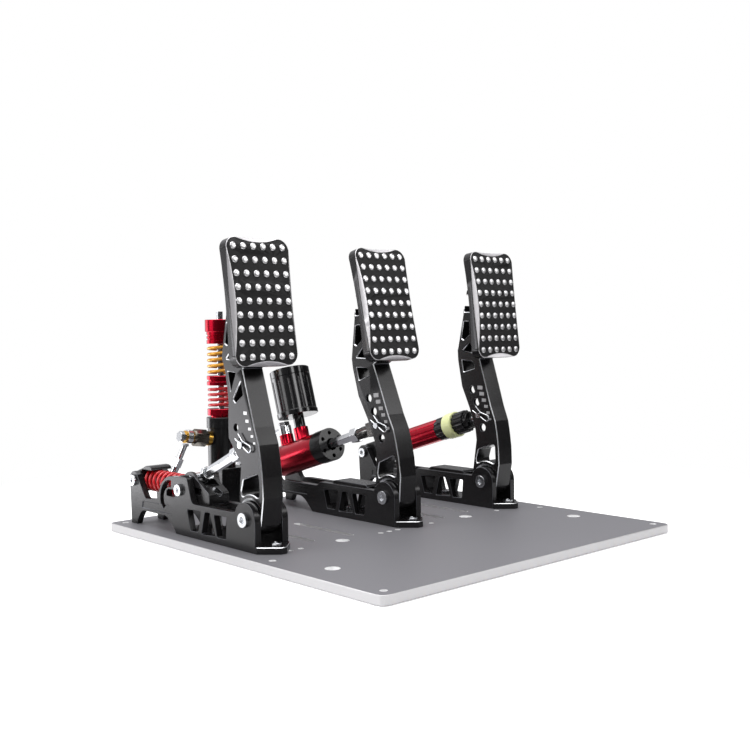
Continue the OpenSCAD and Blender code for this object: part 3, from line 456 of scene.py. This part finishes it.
# Steel, chrome, bronze and brass pieces
for node in ("pivot_screws", "frame_screws", "mounting_bolts", "reservoir_screws"):
    machined(node, steel, steel, 0.25, 35)
for node in ("pivot_shafts", "rear_pins", "clutch_guide_rod", "load_rod", "carriage_pin",
             "brake_piston", "throttle_rod", "clutch_pin", "brake_pin", "throttle_pin"):
    plain(node, steel)
for node in ("hose_fittings", "brake_pushrod", "clutch_pushrod", "clutch_rod_end",
             "clutch_jam_nut"):
    machined(node, chrome, chrome, 0.25, 35)
machined("brake_clevis", dark_chrome, dark_chrome, 0.35, 35)
machined("pressure_sensor", plated_steel, plated_steel, 0.35, 35)
plain("pivot_bushes", bronze)
plain("sealing_washers", brass)

# Reservoir and bumper
for node in ("reservoir", "reservoir_lid"):
    machined(node, gloss_black, gloss_black, 0.4, 40)
machined("throttle_bumper", urethane, urethane, 0.8, 40)


# Base plate: grey top and underside, bare bright edge, and hole walls painted light

BORDER_FROM = 0.96
LONG_WALL_AREA = 100


def at_border(place):
    """Whether a place, in metres, is at the plate's outer edge."""
    return max(abs(place.x) / DECK_HALF_X, abs(place.y) / DECK_HALF_Y) / MM > BORDER_FROM


def level_face(face):
    return abs(face.normal.z) > 0.9


deck = clean_copy("base_plate")
shell = bmesh.new()
shell.from_mesh(deck.data)
weight = shell.edges.layers.float.new("bevel_weight_edge")
for rim in shell.edges:
    if (at_border((rim.verts[0].co + rim.verts[1].co) / 2) and len(rim.link_faces) == 2
            and rim.calc_face_angle() > math.radians(60)
            and any(level_face(face) for face in rim.link_faces)):
        rim[weight] = 1.0
for face in shell.faces:
    face.smooth = not level_face(face)
shell.to_mesh(deck.data)
shell.free()
dress(deck, deck_grey, milled_edge, hole_wall)
for face in deck.data.polygons:
    milled = at_border(face.center) or face.area > LONG_WALL_AREA * MM * MM
    face.material_index = GREY if level_face(face) else MILLED if milled else WALL
edge = deck.modifiers.new("edge", "BEVEL")
edge.limit_method = "WEIGHT"
edge.width = 0.5 * MM
edge.segments = 2
edge.use_clamp_overlap = False
edge.material = MILLED
sharpen(deck, 25)
stand_for(deck, "base_plate")

# Pads: black sanded face, plain black sides, bare metal studs and scooped edges

# Width and rise of the two steps of each stud's crown
STUD_STEPS = ((0.7, 0.22), (0.9, 0.12))

for pedal in PEDALS:
    pad = clean_copy(pedal + "_pad")
    dress(pad, pad_face, pad_metal, black_alloy, stud_metal)
    back = pad_matrix(pedal).inverted()
    turn = back.to_3x3()
    shell = bmesh.new()
    shell.from_mesh(pad.data)
    tops = []
    for face in shell.faces:
        points = [back @ v.co / MM for v in face.verts]
        normal = turn @ face.normal
        # How far the face stands out from the pad's curved front
        proud = max(p.z * p.z / (2 * CURVE) - p.y for p in points)
        to_front = normal.y < -0.9
        to_side = abs(normal.x) > 0.95 or abs(normal.z) > 0.95 or normal.y > -0.2
        if proud > 0.3:
            face.material_index = STUD
            if to_front:
                tops.append(face)
        else:
            face.material_index = SIDE if to_side else FACE if to_front else METAL
    for step, rise in STUD_STEPS:
        bmesh.ops.inset_individual(shell, faces=tops, thickness=step * MM, depth=rise * MM,
                                   use_even_offset=True)
    rim = [edge for edge in shell.edges if len(edge.link_faces) == 2
           and sorted(f.material_index for f in edge.link_faces) in ([FACE, SIDE], [FACE, METAL])
           and edge.calc_face_angle() > math.radians(20)]
    bmesh.ops.bevel(shell, geom=rim, offset=0.55 * MM, offset_type="WIDTH", segments=1,
                    affect="EDGES", material=METAL)
    shell.to_mesh(pad.data)
    shell.free()
    sharpen(pad, 35)
    stand_for(pad, pedal + "_pad")

# Index marks on both walls of each arm

# Each mark's y and z in the arm's own axes, from the top, and the size of the largest
LEVER_MARKS = [(8.3, 99.8), (5.8, 93.3), (2.8, 86.6), (-0.2, 80), (-3.1, 73.4), (-5.6, 66.8)]
MARKS = {
    "clutch": (1.1, [(5.9, 91.9), (3.3, 85.1), (-0.3, 78.5), (-3.7, 72.3), (-6.9, 66.5)]),
    "brake": (1.55, LEVER_MARKS),
    "throttle": (1.55, LEVER_MARKS),
}
# The marks lie this far out of the arms' sides
MARK_PROUD = 0.04

for pedal, (size, marks) in MARKS.items():
    shell = bmesh.new()
    for i, (y, z) in enumerate(marks):
        half_y = size * (2.3 - 0.22 * i)
        half_z = size * (1.3 - 0.1 * i)
        for side in (-1, 1):
            x = side * (ARM_HALF_WIDTH + MARK_PROUD)
            corners = [(x, y - half_y, z - half_z), (x, y + half_y, z - half_z),
                       (x, y + half_y, z + half_z), (x, y - half_y, z + half_z)]
            if side < 0:
                corners.reverse()
            shell.faces.new([shell.verts.new(Vector(c) * MM) for c in corners])
    mesh = bpy.data.meshes.new(pedal + "_marks")
    shell.to_mesh(mesh)
    shell.free()
    mesh.materials.append(lit_index_mark if pedal == "clutch" else shaded_index_mark)
    made = link(mesh.name, mesh)
    made.matrix_world = arm_matrix(pedal)
    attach(made, BODY_OF[pedal + "_arm"])


# Springs: the CAD's helix with a rounder wire

# The share of the path at each end that lies nearly flat, and the wire's room at each seat
FLAT_SHARE = 0.02
SEAT_ROOM = 0.3
STEPS_PER_TURN = 40
WIRE_SIDES = 12
# The wire is drawn this little thinner than the CAD's, to stay inside it
WIRE_SHARE = 0.995


def coil_height(t, wire, z0, z1):
    """The height at the share t of the path: slow at both ends and even between them."""
    u = max(0.0, min(1.0, (t - FLAT_SHARE) / (1 - 2 * FLAT_SHARE)))
    end = wire + SEAT_ROOM
    return z0 + end + (z1 - z0 - 2 * end) * (0.1 * t + 0.9 * u)


def tube(name, path, radius, sides, finish, node):
    """Sweeps a round section along a list of points, in metres, and closes the ends."""
    shell = bmesh.new()
    uv = shell.loops.layers.uv.new("hose")
    loops = []
    side = None
    reach = [0.0]
    for i in range(1, len(path)):
        reach.append(reach[-1] + (path[i] - path[i - 1]).length)
    for i, point in enumerate(path):
        way = (path[min(len(path) - 1, i + 1)] - path[max(0, i - 1)]).normalized()
        if side is None:
            side = way.orthogonal().normalized()
        side = (side - way * side.dot(way)).normalized()
        other = way.cross(side)
        loops.append([shell.verts.new(point + radius * (side * math.cos(a) + other * math.sin(a)))
                      for a in (2 * math.pi * k / sides for k in range(sides))])
    for i in range(len(loops) - 1):
        for k in range(sides):
            n = (k + 1) % sides
            face = shell.faces.new([loops[i][k], loops[i][n], loops[i + 1][n], loops[i + 1][k]])
            face.smooth = True
            marks = [(k, i), (k + 1, i), (k + 1, i + 1), (k, i + 1)]
            for loop, (a, b) in zip(face.loops, marks):
                loop[uv].uv = (a / sides, reach[b] / (2 * math.pi * radius))
    shell.faces.new(list(reversed(loops[0])))
    shell.faces.new(loops[-1])
    mesh = bpy.data.meshes.new(name)
    bmesh.ops.recalc_face_normals(shell, faces=shell.faces)
    shell.to_mesh(mesh)
    shell.free()
    mesh.materials.append(finish)
    return stand_for(link(name, mesh), node)


def coil(node, centre, axis, radius, wire, z0, z1, turns, finish):
    """A wound spring from z0 to z1 along its axis, y or z."""
    path = []
    steps = turns * STEPS_PER_TURN
    for i in range(steps + 1):
        t = i / steps
        a = 2 * math.pi * turns * t
        h = coil_height(t, wire, z0, z1)
        x, y = radius * math.cos(a), radius * math.sin(a)
        local = Vector((x, y, h)) if axis == "z" else Vector((x, h, -y))
        path.append((Vector(centre) + local) * MM)
    return tube(node + "_look", path, wire * MM * WIRE_SHARE, WIRE_SIDES, finish, node)


# At the full stroke each spring is squashed by the piece that loads it to its length between its
# seats. Both ends of the lower spring rise, by 10.5 and 5.5 mm, so its still point lies above it.
# The coils here are drawn at rest.
clutch_coil = coil("clutch_spring", (-154.8, 0.0, 50.5), "y", 9.5, 1.6, 106.0, 176.0, 9, red_wire)
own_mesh(clutch_coil)
lower_coil = coil("lower_spring", (-68.0, 179.5, 0.0), "z", 12.3, 1.6, 117.0, 142.0, 4, red_wire)
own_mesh(lower_coil)
upper_coil = coil("upper_spring", (-68.0, 179.5, 0.0), "z", 12.3, 1.6, 152.0, 186.0, 5, gold_wire)
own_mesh(upper_coil)


# Hose: the CAD route, rounder, with a braid

# The brake's pin from its pivot, and the master cylinder's rear pin in the shared frame
PIN_BACK, PIN_UP = 8.5, 70.0
REAR_PIN_Y, REAR_PIN_Z = 180.0, 51.5
# The cylinder's banjo, along its axis from the brake's pin and up from the axis
BANJO_ALONG, BANJO_UP = 178.35, 32.0
# The load unit's axis, and the sensor's banjo: how far out it is and how far it tips up
LOAD_X, LOAD_Y, SENSOR_Z = -68.0, 179.5, 83.8
SENSOR_REACH = 42.05
SENSOR_TILT = math.radians(8.0)
# The chrome stem below that banjo: its length, and its lean to the left and to the back
STEM_LENGTH = 42.2
STEM_LEFT, STEM_BACK = math.radians(19.7), math.radians(11.5)
HOSE_RADIUS = 3.0
HOSE_SIDES = 20
STEPS_PER_STOP = 8

lean = math.radians(PEDALS["brake"][1])
pin_y = PIVOT_Y + PIN_BACK * math.cos(lean) + PIN_UP * math.sin(lean)
pin_z = PIVOT_Z - PIN_BACK * math.sin(lean) + PIN_UP * math.cos(lean)
slope = math.atan2(pin_z - REAR_PIN_Z, REAR_PIN_Y - pin_y)
end_y = pin_y + BANJO_ALONG * math.cos(slope) + BANJO_UP * math.sin(slope)
end_z = pin_z - BANJO_ALONG * math.sin(slope) + BANJO_UP * math.cos(slope)
top = Vector((LOAD_X - SENSOR_REACH * math.cos(SENSOR_TILT), LOAD_Y,
              SENSOR_Z + SENSOR_REACH * math.sin(SENSOR_TILT)))
stem_way = Vector((-math.cos(STEM_BACK) * math.sin(STEM_LEFT), math.sin(STEM_BACK),
                   -math.cos(STEM_BACK) * math.cos(STEM_LEFT)))
start = top + STEM_LENGTH * stem_way
stops = [start, start + 6 * stem_way] + [Vector(place) for place in (
    (-127, 191.5, 36), (-121, 194.5, 26), (-110, 197, 20), (-95, 198.5, 18), (-80, 198.5, 19.5),
    (-64, 198.5, 26), (-48, 198.5, 36), (-32, 198.5, 52), (-16, 198.5, 70), (-2, 198, 80),
    (7, 194.5, end_z - 4), (10, end_y + 5, end_z - 1.6), (10, end_y, end_z))]


def smooth_point(a, b, c, d, t):
    """A point at the share t from b to c, on a smooth curve that passes a, b, c and d."""
    return 0.5 * ((2 * b) + (c - a) * t + (2 * a - 5 * b + 4 * c - d) * t * t
                  + (3 * b - a - 3 * c + d) * t ** 3)


def stop(i):
    return stops[max(0, min(len(stops) - 1, i))]


route = []
for i in range(len(stops) - 1):
    for k in range(STEPS_PER_STOP):
        t = k / STEPS_PER_STOP
        route.append(smooth_point(stop(i - 1), stop(i), stop(i + 1), stop(i + 2), t) * MM)
route.append(stops[-1] * MM)
tube("brake_hose_look", route, HOSE_RADIUS * MM, HOSE_SIDES, braid, "brake_hose")


# Studio: white floor that keeps its shadow, plain backdrop, soft lights

scene = bpy.context.scene
floor_mesh = bpy.data.meshes.new("floor")
size = 6.0
floor_mesh.from_pydata([(-size, -size, 0), (size, -size, 0), (size, size, 0), (-size, size, 0)],
                       [], [(0, 1, 2, 3)])
floor = link("floor", floor_mesh)
# A hair below the plate, so that the two never fight for the same pixels
floor.location = (0, 0, -0.0004)

# The floor shows its shadow near the set and turns into the white backdrop further out, between
# these distances from the middle in metres. In reflections its far part is left out, and the
# room shows there instead.
SHADOW_REACH, FLOOR_REACH = 0.33, 0.62
floor_white = bpy.data.materials.new("white studio floor")
floor_white.use_nodes = True
tree = floor_white.node_tree
tree.nodes.clear()
rays = add(tree, "ShaderNodeLightPath")
place = add(tree, "ShaderNodeNewGeometry")
reach = add(tree, "ShaderNodeVectorMath", {0: place.outputs["Position"]}, operation="LENGTH")
fade = ramp(tree, reach.outputs["Value"], SHADOW_REACH, FLOOR_REACH)
matt = add(tree, "ShaderNodeBsdfDiffuse")
matt.inputs["Color"].default_value = (0.95, 0.95, 0.95, 1.0)
lift = add(tree, "ShaderNodeEmission", values={"Strength": 0.3})
lit = add(tree, "ShaderNodeAddShader", {0: matt.outputs[0], 1: lift.outputs[0]})
white = add(tree, "ShaderNodeEmission", values={"Strength": 1.0})
seen_floor = add(tree, "ShaderNodeMixShader", {0: fade, 1: lit.outputs[0], 2: white.outputs[0]})
clear = add(tree, "ShaderNodeBsdfTransparent")
mirrored = add(tree, "ShaderNodeMixShader", {0: fade, 1: matt.outputs[0], 2: clear.outputs[0]})
picked = add(tree, "ShaderNodeMixShader",
             {0: rays.outputs["Is Camera Ray"], 1: mirrored.outputs[0], 2: seen_floor.outputs[0]})
add(tree, "ShaderNodeOutputMaterial", {"Surface": picked.outputs[0]})
floor_mesh.materials.append(floor_white)


def heading(facing, way):
    """How far a ray heads along a direction: 1 straight along it, 0 across it."""
    made = add(tree, "ShaderNodeVectorMath", {0: facing}, operation="DOT_PRODUCT")
    made.inputs[1].default_value = way
    return made.outputs["Value"]


def compass(degrees):
    """A level direction, turned from the left towards the camera's side."""
    return Vector((-math.cos(math.radians(degrees)), -math.sin(math.radians(degrees)), 0.0))


# The room is white where the camera looks. In reflections it is brightest behind the set and
# overhead, with a low bright panel on the left, and it is dark on the near side.
world = bpy.data.worlds.new("studio")
scene.world = world
world.use_nodes = True
tree = world.node_tree
tree.nodes.clear()
rays = add(tree, "ShaderNodeLightPath")
facing = add(tree, "ShaderNodeTexCoord").outputs["Generated"]
height = add(tree, "ShaderNodeSeparateXYZ", {0: facing}).outputs[2]
across = heading(facing, Vector((-0.62, 0.52, 0.59)).normalized())
near_side = heading(facing, compass(39))
far_side = heading(facing, compass(8))

# A wide gradient, brightest behind, on the left and high up
level = ramp(tree, across, -0.4, 0.7, 0.06, 1.0, smooth=False)
# The near side is shadowed below the overhead part, along one border under the horizon and
# along another above it
DARKEST = 0.12
shadowed = ramp(tree, near_side, -0.03, 0.06, 1.0, DARKEST)
wide_shadow = ramp(tree, far_side, -0.1, 0.1, 1.0, 0.25)
above = ramp(tree, height, -0.02, 0.03, smooth=False)
shade_mix = add(tree, "ShaderNodeMix", {"Factor": above, "A": shadowed, "B": wide_shadow},
                data_type="FLOAT").outputs["Result"]
lifted = ramp(tree, height, 0.3, 0.6)
level = calc(tree, "MULTIPLY", level, calc(tree, "MAXIMUM", shade_mix, lifted))
# A bright low panel between those two borders, for the walls that face left
panel = ramp(tree, far_side, -0.1, 0.1, 0.0, 5.0)
low_down = ramp(tree, height, -0.07, 0.03, 1.0, 0.1)
open_side = calc(tree, "SUBTRACT", shadowed, DARKEST, use_clamp=True)
panel = calc(tree, "MULTIPLY", calc(tree, "MULTIPLY", panel, low_down), open_side)
level = calc(tree, "ADD", level, panel)

seen = add(tree, "ShaderNodeBackground", values={"Strength": 1.0})
seen.inputs["Color"].default_value = (1.0, 1.0, 1.0, 1.0)
fill = add(tree, "ShaderNodeBackground", {"Strength": level})
fill.inputs["Color"].default_value = (0.97, 0.97, 1.0, 1.0)
choice = add(tree, "ShaderNodeMixShader",
             {0: rays.outputs["Is Camera Ray"], 1: fill.outputs[0], 2: seen.outputs[0]})
add(tree, "ShaderNodeOutputWorld", {"Surface": choice.outputs[0]})


def softbox(name, place, target, width, height, power):
    """A plain rectangular area light, in metres and watts, turned to its target."""
    light = bpy.data.lights.new(name, "AREA")
    light.shape = "RECTANGLE"
    light.size = width
    light.size_y = height
    light.energy = power
    made = link(name, light)
    made.location = place
    made.rotation_mode = "QUATERNION"
    made.rotation_quaternion = (Vector(target) - Vector(place)).to_track_quat("-Z", "Y")


softbox("overhead", (0.0, 0.1, 1.5), (0, 0, 0), 1.4, 1.4, 17)
softbox("left", (-1.3, 0.5, 0.7), (0, 0, 0.1), 0.9, 1.0, 9)
softbox("front", (-0.5, -1.4, 0.9), (0, 0, 0.1), 0.5, 0.5, 5)
softbox("front right", (0.95, -1.15, 0.8), (0, 0, 0.15), 0.8, 0.4, 5)

scene.view_settings.view_transform = "Standard"
scene.view_settings.look = "None"

# The photo's viewpoint, solved from the base plate
camera_data = bpy.data.cameras.new("photo camera")
camera_data.sensor_width = 36.0
camera_data.lens = 48.95
camera_data.clip_start = 0.01
camera_data.clip_end = 50.0
camera = link("photo camera", camera_data)
right = Vector((0.73706, -0.67572, -0.01210))
up = Vector((0.03821, 0.02380, 0.99899))
ahead = Vector((0.67474, 0.73678, -0.04336))
turned = Matrix((right, up, -ahead)).transposed().to_4x4()
camera.matrix_world = Matrix.Translation(Vector((-0.67930, -0.73157, 0.19766))) @ turned
scene.camera = camera
